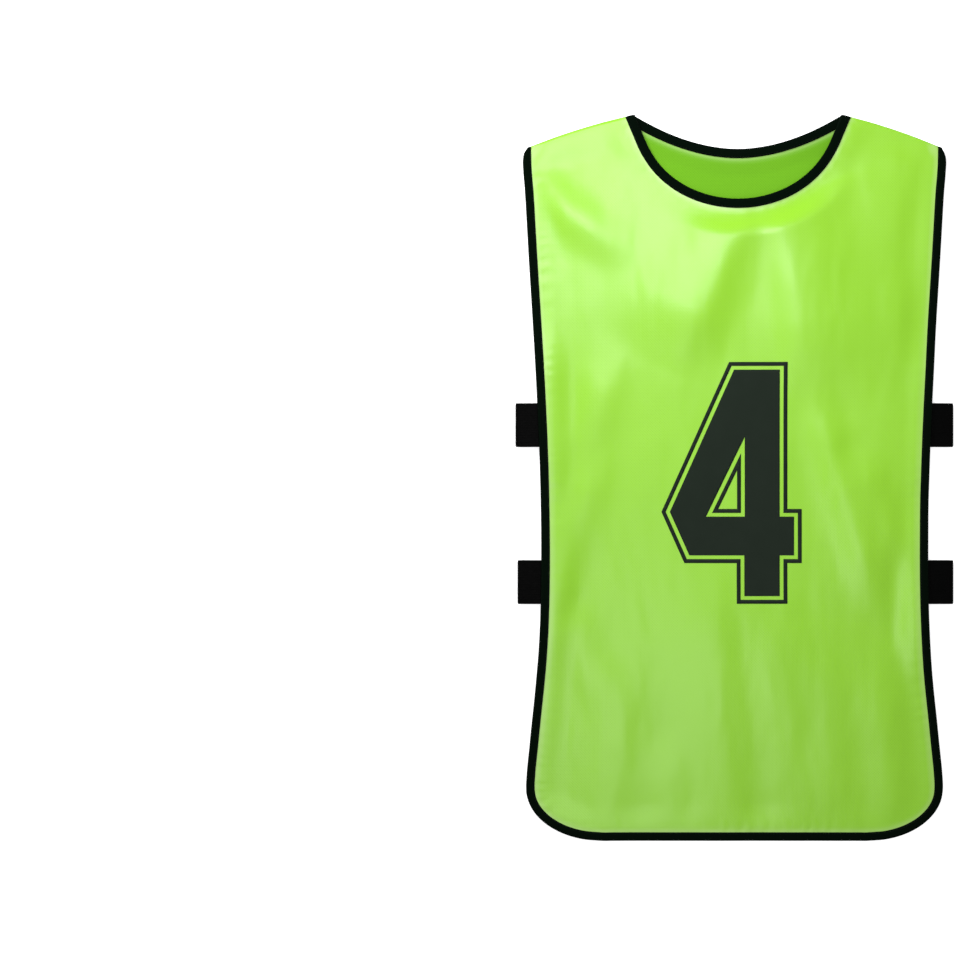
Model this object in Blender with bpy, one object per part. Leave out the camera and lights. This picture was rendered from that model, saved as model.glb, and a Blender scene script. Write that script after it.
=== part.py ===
"""Training bib lying flat on a table, front side up.

Metres. +Z is up, +Y runs from the hem to the shoulders and +X to the right as seen from above.
The origin is under the middle of the bib, on the table.

The bib is two panels of cloth, one on the other. A folded tape binds each panel's sides and hem, another
binds the neckline, and four short elastics, folded double as they lie, join the front to the back.
"""

import math
from collections import namedtuple

import bmesh
import bpy
from mathutils import Vector
from mathutils.kdtree import KDTree

# Driving sizes
LENGTH = 0.700  # hem to neck corners
CLOTH = 0.0010  # wall of a panel
TAPE = 0.0010  # wall of the binding tape
GAP = 0.0003  # between pieces that are sewn together
EDGE_TAPE_WIDTH = 0.0083  # folded tape on the sides and hem
NECK_TAPE_WIDTH = 0.0092
FOLD_WALL = 0.0014  # tape at its fold, outside the panel's raw edge
FOLD_CHAMFER = 0.0011

# Outline of the finished bib
TOP = LENGTH / 2
HEM = -LENGTH / 2
CORNER_ACROSS = 0.0725  # half axes of the round hem corner
CORNER_UP = 0.0500
SHOULDER_BULGE = 0.0024
NECK_CENTRE = 0.0034  # the neckline lies this far to the right
NECK_ELLIPSE = 0.0931  # half width of the front neckline's ellipse
NECK_FLARE = 0.0064  # it opens this much more at the shoulders
NECK_FLARE_POWER = 6
FRONT_NECK_DEPTH = 0.0803
BACK_NECK_DEPTH = 0.0319
BACK_NECK_POWER = 1.9

Side = namedtuple("Side", "above_hem half_width")
SIDES = (
    Side(0.0500, 0.2011),
    Side(0.1000, 0.1970),
    Side(0.1700, 0.1900),
    Side(0.2250, 0.1871),
    Side(0.3000, 0.1866),
    Side(0.3800, 0.1885),
    Side(0.4700, 0.1929),
    Side(0.5650, 0.1987),
    Side(0.6200, 0.2018),
    Side(0.6590, 0.2040),
    Side(0.6680, 0.1995),
)

# Heights of the layers as they lie
BINDING_THICKNESS = 2 * TAPE + CLOTH + 2 * GAP
SLOT_FLOOR = TAPE + GAP  # a panel's underside above its binding's
FRONT_LEVEL = BINDING_THICKNESS + GAP  # underside of the front binding, on the back one
INNER_LEVEL = CLOTH + GAP  # underside of the front panel where it rests on the back panel
LOFT = 0.0012  # air between the panels away from the seams
PANEL_IN_SLOT = FOLD_WALL + GAP
SLOT_MARGIN = 0.0005  # a panel stays level this far past its tape
FLAT_PAST_TAPE = 0.0030
FRONT_SETTLE = 0.0260  # over which the front panel leaves the level of its edge
BACK_SETTLE = 0.0180
SHOULDER_SETTLE = 0.0350
OVER_BACK_TAPE = 0.0120  # the front neckline comes down to the back panel past this much
NECK_SETTLE = 0.0300
EDGE_SHARE = 0.30  # how much of a fold's height its bound edge keeps

# Elastics
ELASTIC = 0.0012
ELASTIC_WIDTH = 0.0422
ELASTIC_REACH = 0.2115  # fold of the elastic from the bib's middle
ELASTIC_TUCK = 0.0100  # how far it runs in under the binding
ELASTIC_DROOP = 0.0012  # of its fold, below its sewn ends
ELASTIC_LOOP = 0.0011  # radius inside its fold
ELASTIC_FLAT_PAST = 0.0180  # the front edge stays up this far past an elastic
ELASTIC_SETTLE = 0.0700
ELASTIC_FOLD_STEPS = 6
ELASTIC_LEG_STEPS = 3
UPPER_ELASTIC_Y = 0.0510
LOWER_ELASTIC_Y = -0.1005
ELASTIC_RISE = 2 * ELASTIC + 2 * GAP  # what the two legs add under the front binding

# A fold of the front panel is a soft ridge along a line that runs down the bib, with a width on each side
# of its crest, in metres. It widens along the line by a factor; fades are shares of the line's length.
Fold = namedtuple("Fold", "name x0 y0 x1 y1 left right widens height fade_in fade_out")
FOLDS = (
    Fold("neck to left chest", 0.020, 0.283, -0.062, 0.100, 0.030, 0.016, 1.3, 0.0070, 0.10, 0.34),
    Fold("neck to right chest", 0.043, 0.288, 0.087, 0.056, 0.019, 0.034, 1.35, 0.0085, 0.08, 0.42),
    Fold("left armhole", -0.207, 0.290, -0.089, 0.203, 0.014, 0.016, 1.0, 0.0044, 0.20, 0.50),
    Fold("right armhole", 0.172, 0.336, 0.133, 0.172, 0.026, 0.018, 1.0, 0.0026, 0.20, 0.50),
    Fold("right side", 0.158, 0.254, 0.151, -0.157, 0.034, 0.017, 1.0, 0.0042, 0.25, 0.45),
    Fold("right side pull", 0.112, 0.037, 0.172, -0.108, 0.018, 0.012, 1.0, 0.0032, 0.30, 0.40),
    Fold("right ridge", 0.075, 0.090, 0.147, -0.157, 0.013, 0.012, 1.0, 0.0044, 0.25, 0.35),
    Fold("left pull, upper", -0.102, 0.143, -0.159, -0.004, 0.016, 0.014, 1.0, 0.0026, 0.45, 0.30),
    Fold("left pull, lower", -0.128, 0.037, -0.183, -0.137, 0.015, 0.014, 1.0, 0.0036, 0.30, 0.20),
    Fold("left hem", -0.101, -0.166, -0.128, -0.379, 0.026, 0.015, 1.0, 0.0030, 0.45, 0.10),
    Fold("left corner", -0.168, -0.118, -0.108, -0.248, 0.016, 0.018, 1.0, 0.0022, 0.25, 0.45),
    Fold("left middle hem", -0.056, -0.234, -0.064, -0.379, 0.020, 0.014, 1.0, 0.0016, 0.40, 0.10),
    Fold("middle hem, left", -0.021, -0.060, -0.008, -0.379, 0.024, 0.015, 1.1, 0.0032, 0.30, 0.10),
    Fold("middle hem, right", 0.037, -0.079, 0.060, -0.379, 0.022, 0.018, 1.0, 0.0028, 0.35, 0.10),
    Fold("right hem", 0.081, -0.118, 0.108, -0.379, 0.018, 0.015, 1.0, 0.0032, 0.35, 0.10),
    Fold("right corner", 0.130, -0.137, 0.161, -0.379, 0.020, 0.020, 1.0, 0.0042, 0.40, 0.10),
)

# Steps along the outline. A panel's top and bottom have the same number.
Steps = namedtuple("Steps", "side corner hem shoulder neck")
FRONT_STEPS = Steps(side=42, corner=3, hem=24, shoulder=7, neck=16)
BACK_STEPS = Steps(side=14, corner=3, hem=8, shoulder=3, neck=8)
LOOKUP_STEP = 0.002  # between the points that find the nearest bound edge
SIDE_REGION = 0.160  # an edge point further out than this is on the bib's side
STRAIGHT = 0.02  # two stretches whose directions cross by less than this make no corner
CREASE_ANGLE = math.radians(40)


def clear_scene():
    for old in list(bpy.data.objects):
        bpy.data.objects.remove(old, do_unlink=True)


def fabric(name, rgb, roughness):
    material = bpy.data.materials.new(name)
    material.use_nodes = True
    shader = material.node_tree.nodes["Principled BSDF"]
    shader.inputs["Base Color"].default_value = (*rgb, 1.0)
    shader.inputs["Roughness"].default_value = roughness
    shader.inputs["Metallic"].default_value = 0.0
    return material


def add_object(name, bm, material):
    mesh = bpy.data.meshes.new(name)
    bm.to_mesh(mesh)
    bm.free()
    mesh.materials.append(material)
    mesh.shade_smooth()
    mesh.set_sharp_from_angle(angle=CREASE_ANGLE)
    obj = bpy.data.objects.new(name, mesh)
    bpy.context.scene.collection.objects.link(obj)
    return obj


def smooth_step(value):
    t = min(max(value, 0.0), 1.0)
    return t * t * (3 - 2 * t)


def side_half_width(above_hem):
    """Half width of the finished bib, on a smooth curve through the rows of SIDES."""
    last = len(SIDES) - 1
    k = 0
    while k < last - 1 and above_hem > SIDES[k + 1].above_hem:
        k += 1
    low, high = SIDES[k], SIDES[k + 1]
    before, after = SIDES[max(k - 1, 0)], SIDES[min(k + 2, last)]
    span = high.above_hem - low.above_hem
    low_slope = (high.half_width - before.half_width) / (high.above_hem - before.above_hem)
    high_slope = (after.half_width - low.half_width) / (after.above_hem - low.above_hem)
    if k == 0:
        low_slope = 0.0
    t = (above_hem - low.above_hem) / span
    return (
        low.half_width * (1 + 2 * t) * (1 - t) ** 2
        + low_slope * span * t * (1 - t) ** 2
        + high.half_width * t * t * (3 - 2 * t)
        + high_slope * span * t * t * (t - 1)
    )


def front_neck(share):
    """The front neckline from the right corner, at share 0, to the left one, at 1."""
    angle = math.pi * share
    depth = math.sin(angle)
    out = NECK_ELLIPSE * math.cos(angle) + math.copysign(
        NECK_FLARE * (1 - depth) ** NECK_FLARE_POWER, math.cos(angle)
    )
    return Vector((NECK_CENTRE + out, TOP - FRONT_NECK_DEPTH * depth))


def back_neck(share):
    """The back neckline, between the same two corners."""
    across = 1 - 2 * share
    half = NECK_ELLIPSE + NECK_FLARE
    return Vector(
        (
            NECK_CENTRE + half * across,
            TOP - BACK_NECK_DEPTH * (1 - abs(across) ** BACK_NECK_POWER),
        )
    )


def shoulder_points(tip, corner, steps):
    """Points from the armhole's tip to the neck corner, both left out."""
    along = corner - tip
    up = Vector((-along.y, along.x)).normalized()
    if up.y < 0:
        up.negate()
    points = []
    for k in range(1, steps):
        t = k / steps
        points.append(tip + along * t + up * (SHOULDER_BULGE * 4 * t * (1 - t)))
    return points


def outline(steps, neck):
    """The finished edge, anticlockwise from the left shoulder tip, and the kind of each stretch."""
    tip_height = SIDES[-1].above_hem
    near_tip = SIDES[-2].above_hem
    start = SIDES[0].above_hem
    heights = [tip_height]
    for k in range(steps.side):
        heights.append(near_tip + (start - near_tip) * k / (steps.side - 1))
    right_side = [Vector((side_half_width(h), HEM + h)) for h in reversed(heights)]
    corner_middle = Vector((SIDES[0].half_width - CORNER_ACROSS, HEM + CORNER_UP))

    right_corner = []
    for k in range(1, 2 * steps.corner + 1):
        angle = -math.pi / 2 * k / (2 * steps.corner)
        right_corner.append(
            corner_middle + Vector((CORNER_ACROSS * math.cos(angle), CORNER_UP * math.sin(angle)))
        )
    hem_right = right_corner[-1]
    hem = []
    for k in range(1, steps.hem):
        hem.append(Vector((-hem_right.x + 2 * hem_right.x * k / steps.hem, hem_right.y)))

    def mirrored(points):
        return [Vector((-p.x, p.y)) for p in points]

    left_down = mirrored(reversed(right_side)) + mirrored(right_corner)
    right_up = list(reversed(right_corner)) + right_side
    tip = right_side[-1]
    neck_points = [neck(k / steps.neck) for k in range(steps.neck + 1)]
    right_shoulder = shoulder_points(tip, neck_points[0], steps.shoulder)
    left_tip = Vector((-tip.x, tip.y))
    left_shoulder = list(reversed(shoulder_points(left_tip, neck_points[-1], steps.shoulder)))

    points = left_down + hem + right_up + right_shoulder + neck_points + left_shoulder
    bound = len(left_down) + len(hem) + len(right_up) - 1
    kinds = (
        ["edge"] * bound
        + ["shoulder"] * steps.shoulder
        + ["neck"] * steps.neck
        + ["shoulder"] * steps.shoulder
    )
    return points, kinds


def inset(points, kinds, depths):
    """Each point moved in, so that it lies depths[kind] inside the stretches on both its sides."""
    moved = []
    count = len(points)
    for k in range(count):
        before = points[k] - points[k - 1]
        after = points[(k + 1) % count] - points[k]
        n0 = Vector((-before.y, before.x)).normalized()
        n1 = Vector((-after.y, after.x)).normalized()
        d0, d1 = depths[kinds[k - 1]], depths[kinds[k]]
        cross = n0.x * n1.y - n0.y * n1.x
        if abs(cross) < STRAIGHT:
            moved.append(points[k] + (n0 + n1).normalized() * (d0 + d1) / 2)
        else:
            moved.append(
                points[k] + Vector(((d0 * n1.y - d1 * n0.y) / cross, (d1 * n0.x - d0 * n1.x) / cross))
            )
    return moved


def fold_height(x, y):
    """Height of all the folds at a point of the front panel."""
    total = 0.0
    for fold in FOLDS:
        along_x, along_y = fold.x1 - fold.x0, fold.y1 - fold.y0
        length = math.hypot(along_x, along_y)
        t = ((x - fold.x0) * along_x + (y - fold.y0) * along_y) / length**2
        if not 0.0 < t < 1.0:
            continue
        off = ((y - fold.y0) * along_x - (x - fold.x0) * along_y) / length
        width = (fold.right if off > 0 else fold.left) * (1 + (fold.widens - 1) * t)
        swell = smooth_step(t / fold.fade_in) * smooth_step((1 - t) / fold.fade_out)
        total += fold.height * swell * math.exp(-0.5 * (off / width) ** 2)
    return total


def elastic_rise(point):
    """How far the folded elastics hold the front binding up at a point of the bib's side."""
    if abs(point.x) < SIDE_REGION:
        return 0.0
    rise = 0.0
    for middle in (UPPER_ELASTIC_Y, LOWER_ELASTIC_Y):
        past = abs(point.y - middle) - ELASTIC_WIDTH / 2 - ELASTIC_FLAT_PAST
        rise = max(rise, ELASTIC_RISE * (1 - smooth_step(past / ELASTIC_SETTLE)))
    return rise


def front_edge_height(point):
    """Underside of the front binding at a point of the finished edge."""
    level = FRONT_LEVEL + elastic_rise(point)
    share = (NECK_CENTRE + NECK_ELLIPSE + NECK_FLARE - point.x) / (2 * (NECK_ELLIPSE + NECK_FLARE))
    if 0.0 < share < 1.0 and point.y > 0:
        off_back_tape = smooth_step((back_neck(share).y - point.y - OVER_BACK_TAPE) / NECK_SETTLE)
        level += (INNER_LEVEL - FRONT_LEVEL) * off_back_tape
    return level + EDGE_SHARE * fold_height(point.x, point.y)


def back_edge_height(_point):
    return 0.0


class NearestEdge:
    """Finds how far a point is past the tape of the nearest bound edge, and that edge's height."""

    def __init__(self, points, kinds, edge_height):
        widths = {"edge": EDGE_TAPE_WIDTH, "neck": NECK_TAPE_WIDTH}
        self.rows = []
        self.shoulders = []
        for k, kind in enumerate(kinds):
            start, end = points[k], points[(k + 1) % len(points)]
            pieces = max(1, round((end - start).length / LOOKUP_STEP))
            for j in range(pieces + 1):
                p = start.lerp(end, j / pieces)
                if kind == "shoulder":
                    self.shoulders.append(p)
                else:
                    height = edge_height(start) + (edge_height(end) - edge_height(start)) * j / pieces
                    self.rows.append((p, widths[kind], height))
        self.bound_tree = self.tree([row[0] for row in self.rows])
        self.shoulder_tree = self.tree(self.shoulders)

    @staticmethod
    def tree(points):
        tree = KDTree(len(points))
        for k, p in enumerate(points):
            tree.insert((p.x, p.y, 0.0), k)
        tree.balance()
        return tree

    def past_tape(self, p):
        _, k, distance = self.bound_tree.find((p.x, p.y, 0.0))
        _, width, height = self.rows[k]
        return distance - width, height

    def from_shoulder(self, p):
        return self.shoulder_tree.find((p.x, p.y, 0.0))[2]


def front_height(p, nearest):
    """Underside of the front panel, level along its bound edges and with its folds inside them."""
    past, edge = nearest.past_tape(p)
    inside = smooth_step((past - FLAT_PAST_TAPE) / FRONT_SETTLE)
    lift = smooth_step(nearest.from_shoulder(p) / SHOULDER_SETTLE)
    folded = INNER_LEVEL + (LOFT + fold_height(p.x, p.y)) * lift
    return (edge + SLOT_FLOOR) * (1 - inside) + folded * inside


def back_height(p, nearest):
    """Underside of the back panel, flat on the table but for the rim that its tape lifts."""
    past, edge = nearest.past_tape(p)
    inside = smooth_step((past - SLOT_MARGIN) / BACK_SETTLE)
    return (edge + SLOT_FLOOR) * (1 - inside)


def patch(ring, steps):
    """A grid of points inside a closed ring, as rows from the hem to the top."""
    rise = steps.side + steps.corner
    run = 2 * steps.corner + steps.hem
    left = [ring[rise - k] for k in range(rise + 1)]
    bottom = [ring[rise + k] for k in range(run + 1)]
    right = [ring[rise + run + k] for k in range(rise + 1)]
    top = [ring[(2 * rise + 2 * run - k) % len(ring)] for k in range(run + 1)]
    rows = []
    for j in range(rise + 1):
        v = j / rise
        row = []
        for i in range(run + 1):
            u = i / run
            between = bottom[i] * (1 - v) + top[i] * v + left[j] * (1 - u) + right[j] * u
            corners = (bottom[0] * (1 - u) + bottom[-1] * u) * (1 - v) + (top[0] * (1 - u) + top[-1] * u) * v
            row.append(between - corners)
        rows.append(row)
    return rows


def build_panel(name, steps, neck, edge_height, height, material):
    """A panel's underside as a grid with one ring round it that lies in the tapes, thickened upwards."""
    points, kinds = outline(steps, neck)
    nearest = NearestEdge(points, kinds, edge_height)
    raw_edge = inset(points, kinds, {"edge": PANEL_IN_SLOT, "neck": PANEL_IN_SLOT, "shoulder": 0.0})
    past_tape = {"edge": EDGE_TAPE_WIDTH + SLOT_MARGIN, "neck": NECK_TAPE_WIDTH + SLOT_MARGIN}
    tape_edge = inset(points, kinds, past_tape | {"shoulder": 0.0})
    count = len(points)
    in_tape = [kinds[k] != "shoulder" or kinds[k - 1] != "shoulder" for k in range(count)]

    grid = patch(tape_edge, steps)
    rise, run = len(grid) - 1, len(grid[0]) - 1
    rim = {(rise - k, 0): k for k in range(rise + 1)}
    rim.update({(0, k): rise + k for k in range(run + 1)})
    rim.update({(k, run): rise + run + k for k in range(rise + 1)})
    rim.update({(rise, run - k): 2 * rise + run + k for k in range(1, run)})

    bm = bmesh.new()
    verts = []
    tape_verts = [None] * count
    for j, row in enumerate(grid):
        line = []
        for i, p in enumerate(row):
            k = rim.get((j, i))
            z = height(p, nearest)
            if k is not None and in_tape[k]:
                z = edge_height(points[k]) + SLOT_FLOOR
            line.append(bm.verts.new((p.x, p.y, z)))
            if k is not None:
                tape_verts[k] = line[-1]
        verts.append(line)
    for j in range(rise):
        for i in range(run):
            bm.faces.new((verts[j][i], verts[j][i + 1], verts[j + 1][i + 1], verts[j + 1][i]))

    raw_verts = {}
    for k, p in enumerate(raw_edge):
        if in_tape[k]:
            raw_verts[k] = bm.verts.new((p.x, p.y, edge_height(points[k]) + SLOT_FLOOR))
    for k in range(count):
        after = (k + 1) % count
        if kinds[k] != "shoulder":
            bm.faces.new((raw_verts[k], raw_verts[after], tape_verts[after], tape_verts[k]))

    obj = add_object(name, bm, material)
    wall = obj.modifiers.new("Wall", "SOLIDIFY")
    wall.thickness = CLOTH
    wall.offset = 1.0
    return obj


def tape_section(width):
    """The folded tape's section, as (in from the finished edge, up from its underside)."""
    top = BINDING_THICKNESS
    return (
        (width, 0.0),
        (FOLD_CHAMFER, 0.0),
        (0.0, FOLD_CHAMFER),
        (0.0, top - FOLD_CHAMFER),
        (FOLD_CHAMFER, top),
        (width, top),
        (width, top - TAPE),
        (FOLD_WALL, top - TAPE),
        (FOLD_WALL, TAPE),
        (width, TAPE),
    )


def loft(rings):
    """A closed solid through rings of points, each ring with the same number, with its ends closed."""
    bm = bmesh.new()
    loops = [[bm.verts.new(p) for p in ring] for ring in rings]
    for one, other in zip(loops, loops[1:]):
        for k in range(len(one)):
            after = (k + 1) % len(one)
            bm.faces.new((one[k], one[after], other[after], other[k]))
    bm.faces.new(reversed(loops[0]))
    bm.faces.new(loops[-1])
    bmesh.ops.recalc_face_normals(bm, faces=bm.faces)
    return bm


def build_binding(name, steps, neck, kind, width, edge_height, material):
    """Tape folded over one panel's bound edge, from shoulder to shoulder."""
    points, kinds = outline(steps, neck)
    stations = [k for k in range(len(points)) if kind in (kinds[k], kinds[k - 1])]
    section = tape_section(width)
    moved = []
    for depth, _ in section:
        depths = {"edge": 0.0, "neck": 0.0, "shoulder": 0.0}
        depths[kind] = depth
        moved.append(inset(points, kinds, depths))
    rings = []
    for k in stations:
        base = edge_height(points[k])
        ring = []
        for corner, (_, up) in enumerate(section):
            p = moved[corner][k]
            ring.append((p.x, p.y, base + up))
        rings.append(ring)
    return add_object(name, loft(rings), material)


def elastic_centreline(edge_x):
    """The elastic's middle line seen from its edge, out along the upper leg, round the fold and back."""
    lower = BINDING_THICKNESS + GAP + ELASTIC / 2
    upper = lower + ELASTIC + GAP
    radius = ELASTIC_LOOP + ELASTIC / 2
    inner_x = edge_x - ELASTIC_TUCK
    fold_x = ELASTIC_REACH - radius - ELASTIC / 2
    middle = (lower + upper) / 2 - ELASTIC_DROOP
    upper_leg = []
    lower_leg = []
    for k in range(ELASTIC_LEG_STEPS + 1):
        t = k / ELASTIC_LEG_STEPS
        x = edge_x + (fold_x - edge_x) * t
        spread = smooth_step(t)
        upper_leg.append((x, upper + (middle + radius - upper) * spread))
        lower_leg.append((x, lower + (middle - radius - lower) * spread))
    fold = []
    for k in range(1, ELASTIC_FOLD_STEPS):
        angle = math.pi / 2 - math.pi * k / ELASTIC_FOLD_STEPS
        fold.append((fold_x + radius * math.cos(angle), middle + radius * math.sin(angle)))
    return [(inner_x, upper)] + upper_leg + fold + list(reversed(lower_leg)) + [(inner_x, lower)]


def build_elastic(name, side, middle_y, material):
    """A strip of elastic folded double, its two ends between the front and the back binding."""
    edge_x = side_half_width(middle_y - HEM)
    line = [Vector(p) for p in elastic_centreline(edge_x)]
    outer, inner = [], []
    for k, p in enumerate(line):
        along = (line[min(k + 1, len(line) - 1)] - line[max(k - 1, 0)]).normalized()
        across = Vector((-along.y, along.x)) * (ELASTIC / 2)
        outer.append(p + across)
        inner.append(p - across)
    section = outer + list(reversed(inner))
    rings = []
    for y in (middle_y - ELASTIC_WIDTH / 2, middle_y + ELASTIC_WIDTH / 2):
        rings.append([(side * p.x, y, p.y) for p in section])
    return add_object(name, loft(rings), material)


def build_bib():
    lime = fabric("lime_mesh", (0.36, 0.76, 0.05), 0.55)
    tape = fabric("black_tape", (0.008, 0.010, 0.008), 0.65)
    webbing = fabric("black_elastic", (0.006, 0.006, 0.006), 0.75)

    build_panel("back_panel", BACK_STEPS, back_neck, back_edge_height, back_height, lime)
    build_panel("front_panel", FRONT_STEPS, front_neck, front_edge_height, front_height, lime)
    for layer, steps, neck, edge_height in (
        ("back", BACK_STEPS, back_neck, back_edge_height),
        ("front", FRONT_STEPS, front_neck, front_edge_height),
    ):
        build_binding(f"{layer}_edge_binding", steps, neck, "edge", EDGE_TAPE_WIDTH, edge_height, tape)
        build_binding(f"{layer}_neck_binding", steps, neck, "neck", NECK_TAPE_WIDTH, edge_height, tape)
    for row, middle_y in (("upper", UPPER_ELASTIC_Y), ("lower", LOWER_ELASTIC_Y)):
        build_elastic(f"{row}_left_elastic", -1, middle_y, webbing)
        build_elastic(f"{row}_right_elastic", 1, middle_y, webbing)


clear_scene()
build_bib()
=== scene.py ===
import math

import bmesh
import bpy
import numpy as np
from mathutils import Matrix, Vector, geometry, noise
from mathutils.bvhtree import BVHTree
from mathutils.kdtree import KDTree


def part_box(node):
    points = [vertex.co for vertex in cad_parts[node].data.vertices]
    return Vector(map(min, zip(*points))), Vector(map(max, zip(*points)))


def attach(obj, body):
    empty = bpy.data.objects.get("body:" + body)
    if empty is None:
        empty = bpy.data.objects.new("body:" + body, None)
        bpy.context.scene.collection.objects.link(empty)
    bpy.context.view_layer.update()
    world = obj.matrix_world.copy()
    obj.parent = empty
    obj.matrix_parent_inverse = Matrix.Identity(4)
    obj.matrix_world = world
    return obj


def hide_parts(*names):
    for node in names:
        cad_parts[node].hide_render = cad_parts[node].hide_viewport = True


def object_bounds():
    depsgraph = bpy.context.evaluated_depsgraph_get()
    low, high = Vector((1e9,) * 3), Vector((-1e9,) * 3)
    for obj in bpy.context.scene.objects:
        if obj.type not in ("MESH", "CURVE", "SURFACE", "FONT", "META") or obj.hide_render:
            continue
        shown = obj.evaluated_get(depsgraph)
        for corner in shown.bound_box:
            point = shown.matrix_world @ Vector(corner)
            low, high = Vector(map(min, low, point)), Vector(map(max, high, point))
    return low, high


# Lime training bib lying flat, front side up. Metres, +Y to the shoulders, +Z off the table.
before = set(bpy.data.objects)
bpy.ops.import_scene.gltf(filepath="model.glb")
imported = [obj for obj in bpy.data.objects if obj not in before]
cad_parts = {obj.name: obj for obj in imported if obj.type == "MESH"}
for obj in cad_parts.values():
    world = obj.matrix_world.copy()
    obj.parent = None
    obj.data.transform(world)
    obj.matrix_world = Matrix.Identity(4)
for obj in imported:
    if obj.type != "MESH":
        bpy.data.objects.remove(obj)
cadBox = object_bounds()
print("frame loaded:", len(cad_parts), "nodes")

photo = {
    "width": 980,  # pixels, and as high
    "bibX": 734,  # the bib's middle in the photograph
    "bibY": 478,
    "bibLength": 724,  # neck corners to hem
}
pixel = (cadBox[1].y - cadBox[0].y) / photo["bibLength"]


# Small helpers

def toLinear(hexColour):
    channels = [int(hexColour[k:k + 2], 16) / 255 for k in (1, 3, 5)]
    return [c / 12.92 if c <= 0.04045 else ((c + 0.055) / 1.055) ** 2.4 for c in channels] + [1.0]


def addNode(material, kind, settings=None, inputs=None):
    node = material.node_tree.nodes.new(kind)
    for name, value in (settings or {}).items():
        setattr(node, name, value)
    for name, value in (inputs or {}).items():
        if isinstance(value, bpy.types.NodeSocket):
            material.node_tree.links.new(value, node.inputs[name])
        else:
            node.inputs[name].default_value = value
    return node


def smoothStep(value):
    t = np.clip(value, 0.0, 1.0)
    return t * t * (3 - 2 * t)


def bendGrid(columns, rows, place):
    # a flat grid whose points are moved to place(column, row)
    bm = bmesh.new()
    bmesh.ops.create_grid(bm, x_segments=columns, y_segments=rows, size=0.5)
    for v in bm.verts:
        v.co = place(round((v.co.x + 0.5) * columns), round((v.co.y + 0.5) * rows))
    return bm


def closedLoft(columns, rows, place):
    # a tube from a bent grid, closed round its rows and at both ends
    bm = bendGrid(columns, rows, place)
    bmesh.ops.remove_doubles(bm, verts=bm.verts, dist=1e-7)
    bmesh.ops.holes_fill(bm, edges=[e for e in bm.edges if e.is_boundary], sides=0)
    bmesh.ops.recalc_face_normals(bm, faces=bm.faces)
    return bm


def addPiece(name, bm, material, node=None):
    mesh = bpy.data.meshes.new(name)
    bm.to_mesh(mesh)
    bm.free()
    mesh.materials.append(material)
    mesh.shade_smooth()
    piece = bpy.data.objects.new(name, mesh)
    bpy.context.scene.collection.objects.link(piece)
    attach(piece, "root")
    if node:
        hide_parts(node)
    return piece


# Edges of the panels, read from the frame

rails = {
    "facingUp": 0.2,  # a face whose normal rises more than this belongs to the top
    "cornerTurn": math.radians(35),  # a sharper turn than this is a corner of the cut
    "step": 0.0025,  # between the points of a rail
    "curvePoints": 12,  # between two points of the frame
}


def topRim(node):
    # the top sheet's border, in order, as points
    bm = bmesh.new()
    bm.from_mesh(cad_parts[node].data)
    bmesh.ops.remove_doubles(bm, verts=bm.verts, dist=1e-6)
    hidden = [f for f in bm.faces if f.normal.z < rails["facingUp"]]
    bmesh.ops.delete(bm, geom=hidden, context="FACES")
    border = [e for e in bm.edges if e.is_boundary]
    vert = border[0].verts[0]
    edge = border[0]
    loop = []
    for _ in border:
        loop.append(vert.co.copy())
        vert = edge.other_vert(vert)
        edge = next(e for e in vert.link_edges if e.is_boundary and e != edge)
    bm.free()
    area = sum(a.x * b.y - b.x * a.y for a, b in zip(loop, loop[1:] + loop[:1]))
    return loop if area > 0 else loop[::-1]  # anticlockwise


def turnAt(loop, k):
    before = (loop[k] - loop[k - 1]).to_2d()
    after = (loop[(k + 1) % len(loop)] - loop[k]).to_2d()
    return abs(before.angle_signed(after))


def smoothPath(points, count):
    # evenly spaced points on a smooth curve through the given ones
    steps = [(b - a).length for a, b in zip(points, points[1:])]
    slopes = [(b - a) / step for a, b, step in zip(points, points[1:], steps)]
    tangents = [
        (before * near ** 2 + after * far ** 2) / (near ** 2 + far ** 2)  # long straight steps stay straight
        for before, after, near, far in zip(slopes, slopes[1:], steps, steps[1:])
    ]
    tangents = [slopes[0] * 2 - tangents[0]] + tangents + [slopes[-1] * 2 - tangents[-1]]
    dense = [points[0].copy()]
    for k, step in enumerate(steps):
        start, end = points[k], points[k + 1]
        leaving, arriving = start + tangents[k] * step / 3, end - tangents[k + 1] * step / 3
        dense += geometry.interpolate_bezier(start, leaving, arriving, end, rails["curvePoints"] + 1)[1:]
    places = np.concatenate([[0.0], np.cumsum([(b - a).length for a, b in zip(dense, dense[1:])])])
    wanted = np.linspace(0, places[-1], count + 1)
    axes = [np.interp(wanted, places, [p[axis] for p in dense]) for axis in range(3)]
    return [Vector(p) for p in zip(*axes)]


def readRails(node):
    # the four stretches between the corners: bound edge, right shoulder, neck, left shoulder
    loop = topRim(node)
    corners = [k for k in range(len(loop)) if turnAt(loop, k) > rails["cornerTurn"]]
    leftTip = min(corners, key=lambda k: loop[k].x)
    loop = loop[leftTip:] + loop[:leftTip]
    corners = [k for k in range(len(loop)) if turnAt(loop, k) > rails["cornerTurn"]] + [len(loop)]
    stretches = []
    for start, end in zip(corners, corners[1:]):
        points = [loop[k % len(loop)] for k in range(start, end + 1)]
        length = sum((b - a).length for a, b in zip(points, points[1:]))
        stretches.append(smoothPath(points, round(length / rails["step"])))
    return dict(zip(("edge", "rightShoulder", "neck", "leftShoulder"), stretches))


panelRails = {layer: readRails(layer + "_panel") for layer in ("front", "back")}
print("rails read:", {name: len(points) for name, points in panelRails["front"].items()})


# Materials

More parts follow.
